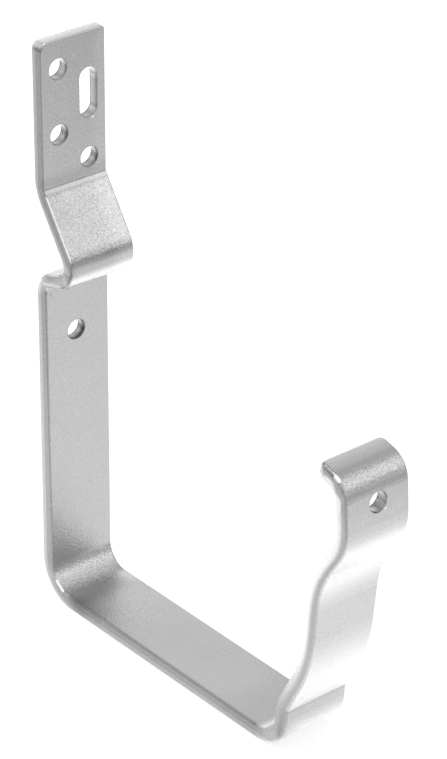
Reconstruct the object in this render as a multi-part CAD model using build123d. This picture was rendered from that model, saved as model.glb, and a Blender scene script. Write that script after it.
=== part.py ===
from build123d import *
import os

# Gutter bracket: one flat bar, bent in the XZ plane, its width along Y.
# The outline is drawn with X = 0 at the wall face, Z = 0 at the underside and Y = 0 in the bar's middle.
# The finished bracket is moved back so that its origin is the middle of the base's underside.
# Corners are where the middle lines of the bar's straight stretches meet.

# The flat bar
bar_width = 25.0
bar_thickness = 5.0
gutter_edge_rounding = 0.5
wall_edge_rounding = 1.0
tab_near_corner_radius = 2.8
tab_far_corner_radius = 1.3
curl_corner_radius = 2.4

# Wall side, from the underside up: leg, return, slant and tab
shoulder_height = 118.4
return_rise = 5.7
hook_reach = 20.0
slant_rise = 26.1
tab_height = 50.2

# Front side, from the front lower corner up: how far each stretch goes out and rises
front_reach = 120.8
upright_run = 0.9
upright_rise = 15.4
belly_run = 10.7
belly_rise = 20.7
waist_run = 3.1
waist_rise = 30.8
lip_run = 11.7
lip_rise = 18.5
top_run = -1.3
top_rise = 19.3
curl_run = -10.2
curl_rise = 2.8

# Bends whose two faces have their own radii, as a press leaves them
fold_inside_radius = 0.8
fold_outside_radius = 16.0
hook_inside_radius = 4.0
hook_outside_radius = 9.0
shoulder_inside_radius = 1.0
shoulder_outside_radius = 9.0
back_inside_radius = 8.0
back_outside_radius = 15.0
front_inside_radius = 8.5
front_outside_radius = 14.0
crease_inside_radius = 0.6
crease_outside_radius = 5.0

# Bends of the ogee, with one radius each at the middle of the bar
belly_radius = 52.0
waist_radius = 38.0
lip_radius = 14.0
curl_radius = 6.7

# Holes, stated sideways from the bar's middle and down from the tab's top, the shoulder or the curl
# Each is bevelled on its hidden side: at the wall face, or at the arm's gutter face
hole_diameter = 7.0
hole_bevel = 1.3
slot_width = 7.0
slot_length = 17.0
near_row_side = -5.9
upper_hole_drop = 9.8
middle_hole_drop = 32.0
far_row_side = 5.75
slot_drop = 20.7
lower_hole_drop = 42.8
leg_hole_side = -0.6
leg_hole_drop = 20.2
front_hole_drop = 7.6

# Heights that follow
hook_height = shoulder_height + return_rise
fold_height = hook_height + slant_rise
overall_height = fold_height + tab_height


def middle_line():
    """Corners of the bar's middle line, from the top of the tab to the end of the curl."""
    wall = bar_thickness / 2
    corners = [
        Vector(wall, overall_height),
        Vector(wall, fold_height),
        Vector(hook_reach, hook_height),
        Vector(wall, shoulder_height),
        Vector(wall, wall),
        Vector(front_reach, wall),
    ]
    stretches = [
        Vector(upright_run, upright_rise),
        Vector(belly_run, belly_rise),
        Vector(waist_run, waist_rise),
        Vector(lip_run, lip_rise),
        Vector(top_run, top_rise),
        Vector(curl_run, curl_rise),
    ]
    for stretch in stretches:
        corners.append(corners[-1] + stretch)
    return corners


def side_line(corners, distance):
    """The middle line moved sideways by a distance, its corners mitred."""
    ahead = [(b - a).normalized() for a, b in zip(corners, corners[1:])]
    normals = [Vector(-d.Y, d.X) for d in ahead]
    line = [corners[0] + normals[0] * distance]
    for corner, n1, n2 in zip(corners[1:], normals, normals[1:]):
        line.append(corner + (n1 + n2) * (distance / (1 + n1.dot(n2))))
    line.append(corners[-1] + normals[-1] * distance)
    return line


def bar_profile():
    """Outline of the bent bar: the face towards the gutter, then the face towards the wall."""
    half = bar_thickness / 2
    gutter_face = side_line(middle_line(), half)
    wall_face = side_line(middle_line(), -half)
    gutter_radii = [
        fold_inside_radius,
        hook_outside_radius,
        shoulder_inside_radius,
        back_inside_radius,
        front_inside_radius,
        crease_outside_radius,
        belly_radius - half,
        waist_radius + half,
        lip_radius - half,
        curl_radius - half,
    ]
    wall_radii = [
        fold_outside_radius,
        hook_inside_radius,
        shoulder_outside_radius,
        back_outside_radius,
        front_outside_radius,
        crease_inside_radius,
        belly_radius + half,
        waist_radius - half,
        lip_radius + half,
        curl_radius + half,
    ]
    outline = FilletPolyline(gutter_face, radius=gutter_radii)
    outline += Line(gutter_face[-1], wall_face[-1])
    outline += FilletPolyline(wall_face, radius=wall_radii)
    outline += Line(gutter_face[0], wall_face[0])
    return make_face(outline.edges())


def edge_near(bar, x, y, z):
    """The bar's edge nearest to a point."""
    return bar.edges().sort_by_distance(Vector(x, y, z))[0]


def bent_bar():
    """The bar with its ends rounded in plan and its long edges rounded, more at the wall face."""
    bar = extrude(Plane.XZ * bar_profile(), amount=bar_width / 2, both=True)
    side = bar_width / 2
    tab_end = middle_line()[0]
    curl_end = middle_line()[-1]
    bar = fillet(edge_near(bar, tab_end.X, -side, tab_end.Y), tab_near_corner_radius)
    bar = fillet(edge_near(bar, tab_end.X, side, tab_end.Y), tab_far_corner_radius)
    curl_corners = [edge_near(bar, curl_end.X, y, curl_end.Y) for y in (-side, side)]
    bar = fillet(curl_corners, curl_corner_radius)
    # Each rim is one smooth loop, so rounding any of its edges rounds all of it
    leg_middle = shoulder_height / 2
    bar = fillet(edge_near(bar, bar_thickness, -side, leg_middle), gutter_edge_rounding)
    return fillet(edge_near(bar, 0, -side, leg_middle), wall_edge_rounding)


def wall_holes(grow):
    """Outline of the holes in tab and leg, each grown by the same amount all round."""
    hole = Circle(hole_diameter / 2 + grow)
    slot = SlotOverall(slot_length + 2 * grow, slot_width + 2 * grow, rotation=90)
    holes = Pos(near_row_side, overall_height - upper_hole_drop) * hole
    holes += Pos(near_row_side, overall_height - middle_hole_drop) * hole
    holes += Pos(far_row_side, overall_height - slot_drop) * slot
    holes += Pos(far_row_side, overall_height - lower_hole_drop) * hole
    return holes + Pos(leg_hole_side, shoulder_height - leg_hole_drop) * hole


def hole_cutters():
    """Holes of the wall side and the one through the arm, each with its bevel."""
    through = bar_thickness * 2
    holes = extrude(Plane.YZ * wall_holes(0), amount=through)
    holes += extrude(Plane.YZ * wall_holes(hole_bevel), amount=hole_bevel, taper=45)
    curl_corner = middle_line()[-2]
    gutter_face = Plane.YZ.offset(curl_corner.X - bar_thickness / 2)
    front_hole = gutter_face * Pos(0, curl_corner.Y - front_hole_drop)
    holes += extrude(front_hole * Circle(hole_diameter / 2), amount=through)
    mouth = front_hole * Circle(hole_diameter / 2 + hole_bevel)
    holes += extrude(mouth, amount=hole_bevel, taper=45)
    return holes + extrude(mouth, amount=-bar_thickness / 2)


def bracket():
    """The finished bracket as one solid, with the middle of its base over the origin."""
    return Pos(-front_reach / 2, 0) * (bent_bar() - hole_cutters())


os.makedirs("parts", exist_ok=True)
export_step(bracket(), "parts/bracket.step")
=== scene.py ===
import math

import bmesh
import bpy
from mathutils import Matrix, Vector

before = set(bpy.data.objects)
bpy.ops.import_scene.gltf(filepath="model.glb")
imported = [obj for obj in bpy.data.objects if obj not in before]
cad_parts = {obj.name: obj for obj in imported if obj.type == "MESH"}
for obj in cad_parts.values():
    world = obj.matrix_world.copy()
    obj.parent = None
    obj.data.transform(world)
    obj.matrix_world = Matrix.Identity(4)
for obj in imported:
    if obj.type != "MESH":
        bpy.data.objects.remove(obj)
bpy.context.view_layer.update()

# Lengths are metres. The origin is the middle of the base's underside: X out from the wall, Z up.
# A fade is written as where it starts, where it ends, and its value at each.

# Camera, as fitted to the photograph
CAMERA_PLACE = Vector((0.66971, -0.55075, 0.57933))
CAMERA_AZIMUTH = math.radians(49.808)
CAMERA_DOWN = math.radians(28.784)
CAMERA_ROLL = math.radians(0.426)
CAMERA_LENS = 150.91
CAMERA_SENSOR = 36
CAMERA_NEAREST = 0.01

# Softboxes: name, place, the point they face, width, height and how bright they are to look at
SOFTBOXES = (
    ("key", (0.71, 0.68, 0.79), (0, 0, 0.1), 0.62, 0.62, 0.52),
    ("top", (0.05, -0.1, 0.85), (0.05, 0.0, 0), 0.3, 0.3, 5.0),
)

# Floor: its white under the lamps, and the half white and glow it has where it is seen
FLOOR_RADIUS = 3.0
FLOOR_SIDES = 96
FLOOR_WHITE = (0.85, 0.85, 0.85, 1)
FLOOR_HALF_WHITE = (0.4, 0.4, 0.4, 1)
FLOOR_GLOW = 0.72

# How much of the light below the floor the metal shows, by place along Y
POOL_TONES = (
    (-0.30, 0.30),
    (-0.19, 0.36),
    (-0.15, 0.40),
    (-0.10, 0.92),
    (-0.04, 1.00),
    (-0.022, 0.80),
    (-0.012, 0.55),
    (0.0, 1.00),
    (0.05, 1.00),
    (0.075, 0.95),
    (0.14, 0.95),
    (0.18, 0.88),
    (0.22, 0.62),
    (0.32, 0.42),
)
POOL_START = POOL_TONES[0][0]
POOL_LENGTH = POOL_TONES[-1][0] - POOL_START

# Light all round, as the metal shows it, by height of the direction: -1 straight down, 1 straight up
SKY_TONES = (
    (-1.00, 1.60),
    (-0.82, 1.58),
    (-0.75, 1.12),
    (-0.60, 0.80),
    (-0.48, 0.73),
    (-0.36, 0.68),
    (-0.20, 0.29),
    (-0.05, 0.11),
    (0.00, 0.36),
    (0.10, 0.62),
    (0.22, 0.90),
    (0.36, 1.05),
    (0.54, 1.00),
    (0.61, 0.92),
    (1.00, 0.90),
)
SKY_BRIGHTEST = 2.0

# Glow behind the wall side, by the direction's X, and its share by how far sideways the direction is
BEHIND_GLOW = (-0.70, -0.84, 0.0, 1.15)
BEHIND_SHARE = (0.10, 0.38, 0.10, 1.0)

# Shade low in front: its share by the direction's height, and its strength by the direction's Y
LOW_SHARE = (0.0, -0.2, 0.0, 1.0)
FRONT_SHADE = (0.2, -0.5, 0.0, 0.20)

# The bar, as the part has it, with the ends of the slant's middle line as X and Z
HALF_WIDTH = 0.0125
THICKNESS = 0.005
WALL_FACE = -0.0604
TAB_FACE = -0.0554
ARM_FACE = 0.0885
BACK_BEND_RADIUS = 0.015
HOLE_RADIUS = 0.0035
SLOT_STRAIGHT = 0.005
WALL_BEVEL_DEPTH = 0.0037
ARM_BEVEL_DEPTH = 0.0042
SLANT_TOP = (-0.0579, 0.1502)
SLANT_FOOT = (-0.0404, 0.1241)
SLANT_FOOT_MARGIN = 0.002

# Front face of the arm, as height and place out from the wall
ARM_FRONT = (
    (0.0090, 0.0626),
    (0.0170, 0.0638),
    (0.0300, 0.0703),
    (0.0420, 0.0745),
    (0.0500, 0.0757),
    (0.0620, 0.0769),
    (0.0700, 0.0791),
    (0.0750, 0.0816),
    (0.0800, 0.0848),
    (0.0840, 0.0872),
    (0.0880, 0.0886),
    (0.0920, 0.0890),
    (0.1040, 0.0881),
)
ARM_CURVE_SCALE = 10

# Sheared side of the bar, by distance from the bar's middle
SIDE_START = HALF_WIDTH - 0.0006
SIDE_FULL = HALF_WIDTH - 0.0002

# How deep the side's rough band is, how soft its edge, and how much lighter its colour is painted than
# the smooth rest: a painted reflection on the band and painted shade on the rest of the side
ROUGH_BAND = 0.0023
BAND_BLUR = 0.0002
ROUGH_PAINTED_LIGHT = 0.23
SIDE_PAINTED_SHADE = 0.08

# Painted glare on the arm's side: how much lighter its colour is painted, by depth under the front face
# and by height
ARM_PAINTED_GLARE = 1.10
GLARE_FRONT = (0.0017, 0.0042, 0.0, 1.0)
GLARE_BACK = (0.0080, 0.0100, 1.0, 0.0)
GLARE_FOOT = (0.0130, 0.0500, 0.1, 1.0)
GLARE_TOP = (0.1020, 0.1050, 1.0, 0.0)

# Stretched plating on the slant, back bend and curl, and peeled plating near the back, by height and X
SLANT_FROM_BELOW = (0.1280, 0.1315, 0.0, 1.0)
SLANT_FROM_ABOVE = (0.1492, 0.1500, 1.0, 0.0)
BACK_INWARDS = (-0.042, -0.048, 0.0, 0.8)
BACK_DOWN = (0.013, 0.010, 0.0, 1.0)
CURL_OUTWARDS = (0.0825, 0.0845, 0.0, 1.0)
CURL_UP = (0.1055, 0.1075, 0.0, 1.0)
PEELED_INWARDS = (0.0, -0.035, 0.0, 1.0)
PEELED_DOWN = (0.050, 0.012, 0.0, 1.0)

# Zinc: its grey, its slow clouds of tone, its roughness by cloud, and how much rougher the rough band is
ZINC_GREY = (0.49, 0.49, 0.495)
CLOUD_SIZE = 0.017
CLOUD_DETAIL = 3.0
CLOUD_CHANGE = 0.10
CLOUD_DARKEST = 0.95
CLOUD_ROUGHNESS = (0.3, 0.7, 0.25, 0.31)
BAND_ROUGHNESS = 0.12
BRIGHTEST = 2.0

# Grain: size of its lumps, and the speckle's strength by how stretched the plating is
NOISE_MIDDLE = 0.5
NOISE_ROUGHNESS = 0.55
GRAIN_DETAIL = 1.0
SPECKLE_SIZE = 0.00055
SPECKLE_STRENGTH = (0.0, 1.0, 0.36, 1.05)

# Peel: height, sizes and shares of its coarse and fine lumps, and how far it swells
PEEL_DEPTH = 0.00010
COARSE_SIZE = 0.00085
COARSE_SHARE = 0.65
FINE_SIZE = 0.00045
FINE_SHARE = 0.35
STRETCHED_SWELL = (0.0, 1.0, 0.7, 1.7)
PEELED_SWELL = 1.3

# Painted shade and light in a hole. Heights are in radii, from the middle of the hole or of the slot's
# upper arc
BORE_EDGE = 0.00025
BORE_ENDS = (THICKNESS * 0.6, THICKNESS * 0.8, 1.0, 0.0)
RIM_FULL = 0.3
BEVEL_LINE = (0.0006, 0.0, 0.0, 0.45)
TOP_LIGHT = (0.05, 0.6, 0.0, 0.8)
TOP_LIGHT_DEPTH = 1.8
FOOT_SHADE = (0.35, -0.4, 0.0, 0.28)
BORE_DARKEST = -0.85

# Painted dark rim's strength at its foot, by its darkness, and at its crown, as a factor and an addend to
# its darkness
FOOT_STRENGTH = (0.57, 0.63, 0.4, 1.0)
FOOT_START = -0.95
FOOT_END = -0.45
CROWN_FACTOR = 2.0
CROWN_ADDED = 0.3
CROWN_START = 0.2
CROWN_END = 0.8

# Painted lighter gap under the middle: its height, its half width, and its strength as a factor and an
# addend
GAP_DROP = 0.2
GAP_HALF = 0.3
GAP_FACTOR = -0.7
GAP_ADDED = 0.55

# Holes: sideways place, height, half the slot's straight length, depth of the painted dark rim and its
# strength
WALL_HOLES = (
    (-0.0059, 0.1906, 0.0, 0.0012, 0.38),
    (-0.0059, 0.1684, 0.0, 0.0019, 0.55),
    (0.00575, 0.1797, SLOT_STRAIGHT, 0.0011, 0.30),
    (0.00575, 0.1576, 0.0, 0.0020, 0.56),
    (-0.0006, 0.0982, 0.0, 0.0026, 0.64),
)
FRONT_HOLE = (0.0, 0.0996, 0.0, 0.0014, 0.12)

# Painted light and shade in bands across the bar: place out from the wall, height, reach and how much
# lighter the colour is painted
PAINTED_LIGHT_BANDS = (
    (-0.0554, 0.1528, 0.0040, -0.16),
    (-0.0543, 0.1494, 0.0010, -0.18),
    (-0.0416, 0.1292, 0.0025, -0.05),
    (-0.0418, 0.1260, 0.0026, -0.18),
    (-0.0546, 0.0092, 0.0024, 0.28),
    (0.0460, 0.0050, 0.0200, -0.09),
    (0.0637, 0.0168, 0.0014, -0.12),
    (0.0635, 0.0085, 0.0050, -0.12),
    (0.0765, 0.1122, 0.0036, 0.22),
    (0.0825, 0.1106, 0.0030, -0.22),
    (0.0878, 0.1048, 0.0026, 0.24),
    (0.0891, 0.0940, 0.0080, 0.08),
)

# Painted light and shade in strokes along rims and sides: both ends, reach and how much lighter the
# colour is painted
PAINTED_LIGHT_STROKES = (
    # Tab: painted light on the far edge of its top, painted shade on the near corner's side, and painted
    # light on the far side of its face
    ((-0.0604, -0.0100, 0.2004), (-0.0604, 0.0115, 0.2004), 0.0045, 0.40),
    ((-0.0604, -0.0124, 0.1986), (-0.0558, -0.0124, 0.1986), 0.0018, -0.30),
    ((-0.0554, 0.0110, 0.1960), (-0.0554, 0.0110, 0.1560), 0.0060, 0.10),
    # Slot: painted light on the inner wall
    ((-0.0586, 0.00925, 0.1828), (-0.0586, 0.00925, 0.1748), 0.0033, 1.00),
    # Slant: painted light on the far side, painted shade on the near side and on the sheared side, and a
    # painted highlight along the near edge
    ((-0.0531, 0.0105, 0.1475), (-0.0400, 0.0105, 0.1275), 0.0090, 0.20),
    ((-0.0531, -0.0100, 0.1475), (-0.0500, -0.0100, 0.1430), 0.0060, -0.09),
    ((-0.0562, -0.0125, 0.1480), (-0.0408, -0.0125, 0.1252), 0.0024, -0.14),
    ((-0.0542, -0.0124, 0.1490), (-0.0404, -0.0124, 0.1284), 0.0005, 2.20),
    # Hook: painted light on the inner side, painted shade on the outer edge
    ((-0.0462, -0.0125, 0.1275), (-0.0455, -0.0125, 0.1232), 0.0020, 0.22),
    ((-0.0417, -0.0125, 0.1262), (-0.0440, -0.0125, 0.1213), 0.0012, -0.20),
    ((-0.0440, -0.0125, 0.1213), (-0.0470, -0.0125, 0.1199), 0.0009, -0.25),
    # Shoulder: painted light all along, with a brighter painted line and a darker spot
    ((-0.0570, -0.0125, 0.1175), (-0.0455, -0.0125, 0.1226), 0.0030, 0.24),
    ((-0.0563, -0.0125, 0.1180), (-0.0480, -0.0125, 0.1202), 0.0009, 0.45),
    ((-0.0590, -0.0125, 0.1150), (-0.0577, -0.0125, 0.1188), 0.0018, 0.30),
    ((-0.0577, -0.0125, 0.1188), (-0.0560, -0.0125, 0.1205), 0.0014, 0.25),
    ((-0.0538, -0.0125, 0.1206), (-0.0515, -0.0125, 0.1214), 0.0010, -0.18),
    # Leg, base and front bend: painted shade along the gutter edge, a painted highlight on the squeezed
    # edge in the back bend, and painted light and shade on the front bend
    ((-0.0568, -0.0125, 0.1130), (-0.0568, -0.0125, 0.0140), 0.0018, -0.12),
    ((-0.0556, -0.0124, 0.1150), (-0.0556, -0.0124, 0.0130), 0.0008, -0.14),
    ((-0.0532, -0.0123, 0.0076), (-0.0501, -0.0123, 0.0054), 0.0007, 6.00),
    ((-0.0460, -0.0123, 0.0049), (0.0485, -0.0123, 0.0049), 0.0012, -0.32),
    ((0.0485, -0.0123, 0.0049), (0.0545, -0.0123, 0.0062), 0.0010, -0.22),
    ((0.0520, -0.0125, 0.0020), (0.0582, -0.0125, 0.0048), 0.0042, 0.24),
    ((0.0588, -0.0123, 0.0180), (0.0640, -0.0123, 0.0310), 0.0010, -0.25),
    ((0.0600, -0.0125, 0.0035), (0.0624, -0.0125, 0.0165), 0.0022, -0.15),
    # Base: painted shade where the back bend begins, with a painted dark patch and a painted light one at
    # the far side
    ((-0.0498, 0.0110, 0.0053), (-0.0490, 0.0090, 0.0053), 0.0030, -0.16),
    ((-0.0458, 0.0110, 0.0050), (-0.0430, 0.0110, 0.0050), 0.0042, 0.20),
    ((-0.0415, -0.0125, 0.0050), (-0.0440, 0.0040, 0.0050), 0.0085, -0.30),
    ((-0.0400, -0.0125, 0.0050), (-0.0340, -0.0125, 0.0050), 0.0080, -0.22),
    # Curl: painted highlight on the squeezed edge, painted shade on the corner, and painted glare on the
    # gutter half of its side
    ((0.0830, -0.0121, 0.1098), (0.0841, -0.0120, 0.1093), 0.0009, 6.00),
    ((0.0768, -0.0119, 0.1118), (0.0815, -0.0121, 0.1106), 0.0012, -0.30),
    ((0.0770, -0.0117, 0.1120), (0.0806, -0.0118, 0.1112), 0.0009, -0.30),
    ((0.0757, -0.0117, 0.1112), (0.0750, -0.0117, 0.1080), 0.0025, -0.35),
    ((0.0746, -0.0125, 0.1078), (0.0803, -0.0125, 0.1062), 0.0034, 1.30),
    ((0.0803, -0.0125, 0.1062), (0.0833, -0.0125, 0.1025), 0.0034, 1.10),
    ((0.0833, -0.0125, 0.1025), (0.0834, -0.0125, 0.1005), 0.0030, 0.60),
)

# Small spots: painted glints on burrs, darker spots, and painted light patches, some on the walls of the
# holes: place, size and how much lighter the colour is
FLECKS_AND_GLINTS = (
    ((-0.0554, 0.0002, 0.1935), 0.0005, 0.50),
    ((-0.0554, 0.0073, 0.1709), 0.0007, 1.20),
    ((-0.0544, -0.0122, 0.1166), 0.0008, 0.40),
    ((-0.0540, -0.0124, 0.1173), 0.0006, -0.35),
    ((-0.0555, -0.0122, 0.1148), 0.0008, -0.30),
    ((-0.0554, -0.0106, 0.1139), 0.0006, -0.50),
    ((0.0885, 0.0028, 0.0966), 0.0007, 0.80),
    ((0.0872, 0.0004, 0.0967), 0.0003, 0.60),
    ((-0.0576, -0.0025, 0.1901), 0.0014, 0.60),
    ((0.0866, -0.0004, 0.0961), 0.0022, 0.55),
    ((0.0880, 0.0018, 0.0966), 0.0018, 0.25),
)


def put(tree, kind, **settings):
    """New node in a tree, with its settings."""
    node = tree.nodes.new(kind)
    for name, value in settings.items():
        setattr(node, name, value)
    return node


def feed(tree, socket, value):
    """Link an output to a socket, or write a plain value on it."""
    if isinstance(value, bpy.types.NodeSocket):
        tree.links.new(value, socket)
    else:
        socket.default_value = value


def feed_all(tree, node, *values):
    """Give a node's inputs their values, from the first input on."""
    for socket, value in zip(node.inputs, values):
        feed(tree, socket, value)


def work_out(tree, operation, *values):
    """Result of a Math node."""
    node = put(tree, "ShaderNodeMath", operation=operation)
    feed_all(tree, node, *values)
    return node.outputs[0]


def plus(tree, first, second):
    """Sum of two values."""
    return work_out(tree, "ADD", first, second)


def minus(tree, first, second):
    """First value less the second."""
    return work_out(tree, "SUBTRACT", first, second)


def times(tree, first, second):
    """Product of two values."""
    return work_out(tree, "MULTIPLY", first, second)


def absolute(tree, value):
    """Value without its sign."""
    return work_out(tree, "ABSOLUTE", value)


def diagonal(tree, first, second):
    """Length of the diagonal over two lengths."""
    squares = plus(tree, work_out(tree, "POWER", first, 2.0), work_out(tree, "POWER", second, 2.0))
    return work_out(tree, "SQRT", squares)


def fade(tree, value, start, end, low, high):
    """Smooth change from low where value is start to high where it is end."""
    node = put(tree, "ShaderNodeMapRange", interpolation_type="SMOOTHSTEP")
    feed_all(tree, node, value, start, end, low, high)
    return node.outputs[0]


def split(tree, place):
    """X, Y and Z of a place."""
    node = put(tree, "ShaderNodeSeparateXYZ")
    feed_all(tree, node, place)
    return node.outputs


def vector_math(tree, operation, first, second):
    """Outputs of a Vector Math node with two vectors."""
    node = put(tree, "ShaderNodeVectorMath", operation=operation)
    feed_all(tree, node, first, second)
    return node.outputs


def scale(tree, vector, factor):
    """Vector or colour times a factor."""
    node = put(tree, "ShaderNodeVectorMath", operation="SCALE")
    feed_all(tree, node, vector)
    feed(tree, node.inputs["Scale"], factor)
    return node.outputs[0]


def noise(tree, place, size, detail):
    """Noise whose lumps are about as large as size."""
    node = put(tree, "ShaderNodeTexNoise")
    feed(tree, node.inputs["Vector"], place)
    node.inputs["Scale"].default_value = 1 / size
    node.inputs["Detail"].default_value = detail
    node.inputs["Roughness"].default_value = NOISE_ROUGHNESS
    return node.outputs["Fac"]


def grey_ramp(tree, value, marks):
    """Grey that runs through the tones at the marks."""
    node = put(tree, "ShaderNodeValToRGB")
    elements = node.color_ramp.elements
    while len(elements) < len(marks):
        elements.new(0.5)
    for element, (where, tone) in zip(elements, marks):
        element.position = where
        element.color = (tone, tone, tone, 1)
    feed(tree, node.inputs["Fac"], value)
    return node.outputs["Color"]


def front_curve(tree, share):
    """Place of the arm's front face out from the wall, by share of its height."""
    node = put(tree, "ShaderNodeFloatCurve")
    points = node.mapping.curves[0].points
    while len(points) < len(ARM_FRONT):
        points.new(0.5, 0.5)
    low, high = ARM_FRONT[0][0], ARM_FRONT[-1][0]
    for point, (height, out) in zip(points, ARM_FRONT):
        point.location = ((height - low) / (high - low), out * ARM_CURVE_SCALE)
    node.mapping.update()
    feed(tree, node.inputs["Value"], share)
    return times(tree, node.outputs[0], 1 / ARM_CURVE_SCALE)


def mix_shaders(tree, share, first, second):
    """First shader where share is 0, second where it is 1."""
    node = put(tree, "ShaderNodeMixShader")
    feed_all(tree, node, share, first, second)
    return node.outputs[0]


def mirrored(tree, rays):
    """1 for what the metal mirrors, else 0, from the outputs of Light Path."""
    return work_out(tree, "MAXIMUM", rays["Is Glossy Ray"], rays["Is Transmission Ray"])


def new_group(name, vectors, numbers, outputs):
    """Shader node group with named sockets, and its input and output nodes' sockets."""
    group = bpy.data.node_groups.new(name, "ShaderNodeTree")
    for label in vectors:
        group.interface.new_socket(label, in_out="INPUT", socket_type="NodeSocketVector")
    for label in numbers:
        group.interface.new_socket(label, in_out="INPUT", socket_type="NodeSocketFloat")
    for label in outputs:
        group.interface.new_socket(label, in_out="OUTPUT", socket_type="NodeSocketFloat")
    return group, put(group, "NodeGroupInput").outputs, put(group, "NodeGroupOutput").inputs


def use_group(tree, group, **values):
    """Outputs of a group placed in a tree, with its inputs given by name."""
    node = put(tree, "ShaderNodeGroup", node_tree=group)
    for name, value in values.items():
        feed(tree, node.inputs[name], value)
    return node.outputs


def bore_group():
    """Painted shade and light in a hole or upright slot along X: dark rim, bevel line and foot, lighter
    gap and a painted highlight at the top.
    """
    group, given, result = new_group(
        "hole_painted_shade",
        ["Place"],
        ["Side", "Height", "Straight", "Radius", "Face", "Bevel", "Rim", "Darkness"],
        ["Tone"],
    )
    x, y, z = split(group, given["Place"])
    across = minus(group, y, given["Side"])
    rise = minus(group, z, given["Height"])
    depth = minus(group, given["Face"], x)
    above = work_out(group, "DIVIDE", minus(group, rise, given["Straight"]), given["Radius"])

    # Where the hole is, from just past its wall inwards and between the bar's faces
    up = minus(group, absolute(group, rise), given["Straight"])
    from_middle = diagonal(group, across, work_out(group, "MAXIMUM", up, 0.0))
    outer = plus(group, given["Radius"], BORE_EDGE)
    within = fade(group, from_middle, given["Radius"], outer, 1.0, 0.0)
    off_middle = absolute(group, minus(group, depth, THICKNESS / 2))
    mask = times(group, within, fade(group, off_middle, *BORE_ENDS))

    # Painted shade: dark rim, weak at its foot and strong at its crown, and the dark line of the bevel
    full = times(group, given["Rim"], RIM_FULL)
    rim = fade(group, depth, given["Rim"], full, 0.0, given["Darkness"])
    foot = fade(group, given["Darkness"], *FOOT_STRENGTH)
    rim = times(group, rim, fade(group, above, FOOT_START, FOOT_END, foot, 1.0))
    crown = work_out(group, "MULTIPLY_ADD", given["Darkness"], CROWN_FACTOR, CROWN_ADDED)
    rim = times(group, rim, fade(group, above, CROWN_START, CROWN_END, 1.0, crown))
    bevel = fade(group, absolute(group, minus(group, depth, given["Bevel"])), *BEVEL_LINE)

    # Painted highlight under the top behind the rim, and painted light in the gap under the middle
    behind_rim = times(group, given["Rim"], TOP_LIGHT_DEPTH)
    top = fade(group, above, *TOP_LIGHT)
    top = times(group, top, fade(group, depth, given["Rim"], behind_rim, 0.0, 1.0))
    strength = work_out(group, "MULTIPLY_ADD", given["Darkness"], GAP_FACTOR, GAP_ADDED)
    gap = fade(group, absolute(group, plus(group, above, GAP_DROP)), GAP_HALF, 0.0, 0.0, strength)

    change = plus(group, minus(group, minus(group, top, rim), bevel), gap)
    change = minus(group, change, fade(group, above, *FOOT_SHADE))
    change = work_out(group, "MAXIMUM", change, BORE_DARKEST)
    feed(group, result["Tone"], work_out(group, "MULTIPLY_ADD", mask, change, 1.0))
    return group


def sheared_side_group():
    """Masks of the sheared sides: a whole side, its rough band by the wall face, the painted glare on the
    arm's side.
    """
    group, given, result = new_group("sheared_side", ["Place"], ["Band"], ["Side", "Rough", "Pale"])
    x, y, z = split(group, given["Place"])

    # Depth under the wall face and the underside, round the back bend
    in_wall = minus(group, BACK_BEND_RADIUS, minus(group, x, WALL_FACE))
    in_wall = work_out(group, "MAXIMUM", in_wall, 0.0)
    in_floor = work_out(group, "MAXIMUM", minus(group, BACK_BEND_RADIUS, z), 0.0)
    trough = minus(group, BACK_BEND_RADIUS, diagonal(group, in_wall, in_floor))

    # Depth under the slant's wall face, out of reach below and above the slant
    run = SLANT_FOOT[0] - SLANT_TOP[0]
    drop = SLANT_TOP[1] - SLANT_FOOT[1]
    length = math.hypot(run, drop)
    off_x = times(group, minus(group, x, SLANT_TOP[0]), drop / length)
    off_z = times(group, minus(group, z, SLANT_TOP[1]), run / length)
    slant = absolute(group, plus(group, plus(group, off_x, off_z), THICKNESS / 2))
    slant = plus(group, slant, work_out(group, "LESS_THAN", z, SLANT_FOOT[1] + SLANT_FOOT_MARGIN))
    slant = plus(group, slant, work_out(group, "GREATER_THAN", z, SLANT_TOP[1]))

    # Depth under the arm's front face
    low, high = ARM_FRONT[0][0], ARM_FRONT[-1][0]
    share = work_out(group, "DIVIDE", minus(group, z, low), high - low)
    arm = minus(group, front_curve(group, share), x)
    # Painted glare: the arm's side painted lighter between two depths under the front face, weaker low
    # down and gone at the top
    painted_glare = fade(group, arm, *GLARE_FRONT)
    painted_glare = times(group, painted_glare, fade(group, arm, *GLARE_BACK))
    painted_glare = times(group, painted_glare, fade(group, z, *GLARE_FOOT))
    painted_glare = times(group, painted_glare, fade(group, z, *GLARE_TOP))

    side = fade(group, absolute(group, y), SIDE_START, SIDE_FULL, 0.0, 1.0)
    inner = plus(group, given["Band"], BAND_BLUR)
    outer = minus(group, given["Band"], BAND_BLUR)
    band = fade(group, work_out(group, "MINIMUM", trough, slant), inner, outer, 0.0, 1.0)
    feed(group, result["Side"], side)
    feed(group, result["Rough"], times(group, side, band))
    feed(group, result["Pale"], times(group, side, painted_glare))
    return group


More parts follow.
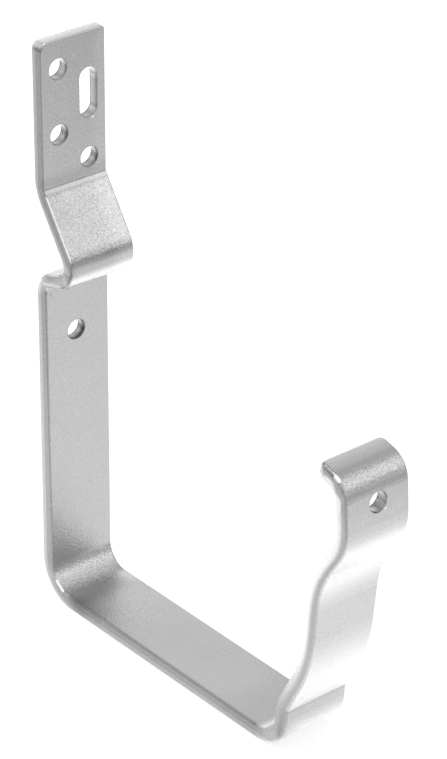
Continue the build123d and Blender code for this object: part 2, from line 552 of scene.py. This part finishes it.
def stroke_group():
    """Mask of a straight stroke between two points, softer away from its middle."""
    group, given, result = new_group(
        "stroke",
        ["Place", "First", "Last"],
        ["Reach", "Strength"],
        ["Mask"],
    )
    along = vector_math(group, "SUBTRACT", given["Last"], given["First"])["Vector"]
    off = vector_math(group, "SUBTRACT", given["Place"], given["First"])["Vector"]
    reached = vector_math(group, "DOT_PRODUCT", off, along)["Value"]
    whole = vector_math(group, "DOT_PRODUCT", along, along)["Value"]
    share = work_out(group, "DIVIDE", reached, whole)
    share = work_out(group, "MINIMUM", work_out(group, "MAXIMUM", share, 0.0), 1.0)
    apart = vector_math(group, "DISTANCE", off, scale(group, along, share))["Value"]
    feed(group, result["Mask"], fade(group, apart, given["Reach"], 0.0, 0.0, given["Strength"]))
    return group


def fleck_group():
    """Mask of one small spot, for painted glints on burrs, darker spots and painted light patches."""
    group, given, result = new_group("fleck", ["Place", "Centre"], ["Size"], ["Mask"])
    apart = vector_math(group, "DISTANCE", given["Place"], given["Centre"])["Value"]
    feed(group, result["Mask"], fade(group, apart, given["Size"], 0.0, 0.0, 1.0))
    return group


def stretch_group():
    """Masks of the bends: where the plating is stretched and speckled, and where it is peeled."""
    group, given, result = new_group("stretch", ["Place"], [], ["Speckled", "Peeled"])
    x, y, z = split(group, given["Place"])
    slant = times(group, fade(group, z, *SLANT_FROM_BELOW), fade(group, z, *SLANT_FROM_ABOVE))
    back = times(group, fade(group, x, *BACK_INWARDS), fade(group, z, *BACK_DOWN))
    curl = times(group, fade(group, x, *CURL_OUTWARDS), fade(group, z, *CURL_UP))
    speckled = work_out(group, "MAXIMUM", slant, work_out(group, "MAXIMUM", back, curl))
    peeled = times(group, fade(group, x, *PEELED_INWARDS), fade(group, z, *PEELED_DOWN))
    face = fade(group, absolute(group, y), SIDE_START, SIDE_FULL, 1.0, 0.0)
    feed(group, result["Speckled"], times(group, speckled, face))
    feed(group, result["Peeled"], times(group, peeled, face))
    return group


def grain_group():
    """Skin of the plated bar: peel as height, slow clouds of tone and fine speckle."""
    group, given, result = new_group("plated_grain", ["Place"], [], ["Height", "Cloud", "Speckle"])
    coarse = noise(group, given["Place"], COARSE_SIZE, GRAIN_DETAIL)
    fine = noise(group, given["Place"], FINE_SIZE, GRAIN_DETAIL)
    speckle = noise(group, given["Place"], SPECKLE_SIZE, GRAIN_DETAIL)
    height = plus(group, times(group, coarse, COARSE_SHARE), times(group, fine, FINE_SHARE))
    feed(group, result["Height"], height)
    feed(group, result["Cloud"], noise(group, given["Place"], CLOUD_SIZE, CLOUD_DETAIL))
    feed(group, result["Speckle"], minus(group, speckle, NOISE_MIDDLE))
    return group


def add_painted_light_marks(tree, place, tone):
    """Tone with the painted light and shade of the stroke masks, bands and holes, and the small spots, on
    it.
    """
    stroke = stroke_group()
    painted_strokes = list(PAINTED_LIGHT_STROKES)
    # Bands of painted light and shade across the bar's whole width
    for out, height, reach, lighter in PAINTED_LIGHT_BANDS:
        painted_strokes.append(((out, -HALF_WIDTH, height), (out, HALF_WIDTH, height), reach, lighter))
    for first, last, reach, lighter in painted_strokes:
        made = use_group(tree, stroke, Place=place, First=first, Last=last, Reach=reach, Strength=lighter)
        tone = work_out(tree, "MULTIPLY_ADD", tone, made["Mask"], tone)

    # Painted shade and light in each hole
    hole_painted_shade = bore_group()
    holes = [(hole, TAB_FACE, WALL_BEVEL_DEPTH) for hole in WALL_HOLES]
    holes.append((FRONT_HOLE, ARM_FACE, ARM_BEVEL_DEPTH))
    for (side, height, straight, rim, darkness), face, bevel in holes:
        made = use_group(
            tree, hole_painted_shade, Place=place, Side=side, Height=height, Straight=straight, Radius=HOLE_RADIUS,
            Face=face, Bevel=bevel, Rim=rim, Darkness=darkness)
        tone = times(tree, tone, made["Tone"])

    fleck = fleck_group()
    for centre, size, lighter in FLECKS_AND_GLINTS:
        made = use_group(tree, fleck, Place=place, Centre=centre, Size=size)
        tone = work_out(tree, "MULTIPLY_ADD", made["Mask"], lighter, tone)
    return work_out(tree, "MINIMUM", tone, BRIGHTEST)


def plated_steel():
    """Zinc-plated steel: silver grey and semi-gloss, with clouds and speckle, and painted light and shade
    on the sheared sides and in marks.
    """
    material = bpy.data.materials.new("plated_steel")
    material.use_nodes = True
    tree = material.node_tree
    metal = tree.nodes["Principled BSDF"]
    place = put(tree, "ShaderNodeTexCoord").outputs["Object"]
    grain = use_group(tree, grain_group(), Place=place)
    sheared = use_group(tree, sheared_side_group(), Place=place, Band=ROUGH_BAND)
    stretch = use_group(tree, stretch_group(), Place=place)

    tone = work_out(tree, "MULTIPLY_ADD", grain["Cloud"], CLOUD_CHANGE, CLOUD_DARKEST)
    strength = fade(tree, stretch["Speckled"], *SPECKLE_STRENGTH)
    tone = plus(tree, tone, times(tree, grain["Speckle"], strength))
    # Sheared sides: the rough band's colour painted lighter as a painted reflection, the rest of each
    # side painted darker as painted shade, and painted glare on the arm's side
    painted_side_light = times(tree, sheared["Rough"], ROUGH_PAINTED_LIGHT + SIDE_PAINTED_SHADE)
    painted_side_light = minus(tree, painted_side_light, times(tree, sheared["Side"], SIDE_PAINTED_SHADE))
    painted_side_light = work_out(tree, "MULTIPLY_ADD", sheared["Pale"], ARM_PAINTED_GLARE, painted_side_light)
    tone = times(tree, tone, plus(tree, 1.0, painted_side_light))
    tone = add_painted_light_marks(tree, place, tone)
    feed(tree, metal.inputs["Base Color"], scale(tree, ZINC_GREY, tone))

    metal.inputs["Metallic"].default_value = 1.0
    rough = fade(tree, grain["Cloud"], *CLOUD_ROUGHNESS)
    rough = work_out(tree, "MULTIPLY_ADD", sheared["Rough"], BAND_ROUGHNESS, rough)
    feed(tree, metal.inputs["Roughness"], rough)

    bump = put(tree, "ShaderNodeBump")
    bump.inputs["Strength"].default_value = 1.0
    bump.inputs["Distance"].default_value = PEEL_DEPTH
    swell = fade(tree, stretch["Speckled"], *STRETCHED_SWELL)
    swell = work_out(tree, "MULTIPLY_ADD", stretch["Peeled"], PEELED_SWELL, swell)
    feed(tree, bump.inputs["Height"], times(tree, grain["Height"], swell))
    feed(tree, metal.inputs["Normal"], bump.outputs[0])
    return material


def floor_white():
    """Pale floor: white with a soft shadow where it is seen, lit from below where the metal shows it."""
    material = bpy.data.materials.new("floor_white")
    material.use_nodes = True
    material.cycles.emission_sampling = "NONE"
    tree = material.node_tree
    tree.nodes.clear()
    white = put(tree, "ShaderNodeBsdfDiffuse")
    white.inputs["Color"].default_value = FLOOR_WHITE
    half_white = put(tree, "ShaderNodeBsdfDiffuse")
    half_white.inputs["Color"].default_value = FLOOR_HALF_WHITE
    glow = put(tree, "ShaderNodeEmission")
    glow.inputs["Strength"].default_value = FLOOR_GLOW

    y = split(tree, put(tree, "ShaderNodeTexCoord").outputs["Object"])["Y"]
    along = work_out(tree, "MULTIPLY_ADD", y, 1 / POOL_LENGTH, -POOL_START / POOL_LENGTH)
    marks = [((where - POOL_START) / POOL_LENGTH, tone) for where, tone in POOL_TONES]
    below = put(tree, "ShaderNodeBsdfTransparent")
    feed(tree, below.inputs["Color"], grey_ramp(tree, along, marks))

    rays = put(tree, "ShaderNodeLightPath").outputs
    in_metal = mirrored(tree, rays)
    lifted = put(tree, "ShaderNodeAddShader")
    shown = mix_shaders(tree, in_metal, glow.outputs[0], below.outputs[0])
    feed_all(tree, lifted, half_white.outputs[0], shown)
    looked_at = work_out(tree, "MAXIMUM", rays["Is Camera Ray"], in_metal)
    mix = mix_shaders(tree, looked_at, white.outputs[0], lifted.outputs[0])
    feed(tree, put(tree, "ShaderNodeOutputMaterial").inputs["Surface"], mix)
    return material


def add_camera():
    """Camera at the photograph's place, looking the photograph's way."""
    data = bpy.data.cameras.new("camera")
    data.lens = CAMERA_LENS
    data.sensor_width = CAMERA_SENSOR
    data.sensor_fit = "AUTO"
    data.clip_start = CAMERA_NEAREST
    camera = bpy.data.objects.new("camera", data)
    bpy.context.scene.collection.objects.link(camera)
    turn = Matrix.Rotation(CAMERA_AZIMUTH, 4, "Z")
    turn = turn @ Matrix.Rotation(math.pi / 2 - CAMERA_DOWN, 4, "X")
    turn = turn @ Matrix.Rotation(CAMERA_ROLL, 4, "Z")
    camera.matrix_world = Matrix.Translation(CAMERA_PLACE) @ turn
    bpy.context.scene.camera = camera


def add_softbox(name, place, aim, width, height, brightness):
    """Rectangular lamp at a place, facing a point, as bright to look at as brightness says."""
    data = bpy.data.lights.new(name, "AREA")
    data.shape = "RECTANGLE"
    data.size = width
    data.size_y = height
    data.energy = brightness * math.pi * width * height
    lamp = bpy.data.objects.new(name, data)
    bpy.context.scene.collection.objects.link(lamp)
    lamp.location = place
    lamp.rotation_euler = (Vector(aim) - Vector(place)).to_track_quat("-Z", "Y").to_euler()


def light_world():
    """Even white light all round; the metal shows it dim level with the floor, bright above and below."""
    world = bpy.data.worlds.new("studio")
    bpy.context.scene.world = world
    world.use_nodes = True
    world.cycles.sampling_method = "NONE"
    tree = world.node_tree
    tree.nodes.clear()
    x, y, z = split(tree, put(tree, "ShaderNodeTexCoord").outputs["Generated"])
    marks = [((height + 1) / 2, tone / SKY_BRIGHTEST) for height, tone in SKY_TONES]
    sky = grey_ramp(tree, work_out(tree, "MULTIPLY_ADD", z, 0.5, 0.5), marks)
    behind = fade(tree, x, *BEHIND_GLOW)
    behind = times(tree, behind, fade(tree, absolute(tree, y), *BEHIND_SHARE))
    shade = times(tree, fade(tree, z, *LOW_SHARE), fade(tree, y, *FRONT_SHADE))
    strength = plus(tree, times(tree, sky, SKY_BRIGHTEST), behind)

    plain = put(tree, "ShaderNodeBackground")
    shown = put(tree, "ShaderNodeBackground")
    for background in (plain, shown):
        background.inputs["Color"].default_value = (1, 1, 1, 1)
    feed(tree, shown.inputs["Strength"], times(tree, strength, minus(tree, 1.0, shade)))
    in_metal = mirrored(tree, put(tree, "ShaderNodeLightPath").outputs)
    mix = mix_shaders(tree, in_metal, plain.outputs[0], shown.outputs[0])
    feed(tree, put(tree, "ShaderNodeOutputWorld").inputs["Surface"], mix)


def add_floor():
    """Round pale floor under the object."""
    mesh = bpy.data.meshes.new("floor")
    bm = bmesh.new()
    bmesh.ops.create_circle(bm, cap_ends=True, segments=FLOOR_SIDES, radius=FLOOR_RADIUS)
    bm.to_mesh(mesh)
    bm.free()
    floor = bpy.data.objects.new("floor", mesh)
    bpy.context.scene.collection.objects.link(floor)
    mesh.materials.append(floor_white())


add_camera()
light_world()
add_floor()
for softbox in SOFTBOXES:
    add_softbox(*softbox)

steel = plated_steel()
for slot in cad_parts["bracket"].material_slots:
    slot.material = steel

bpy.context.scene.view_settings.view_transform = "Standard"
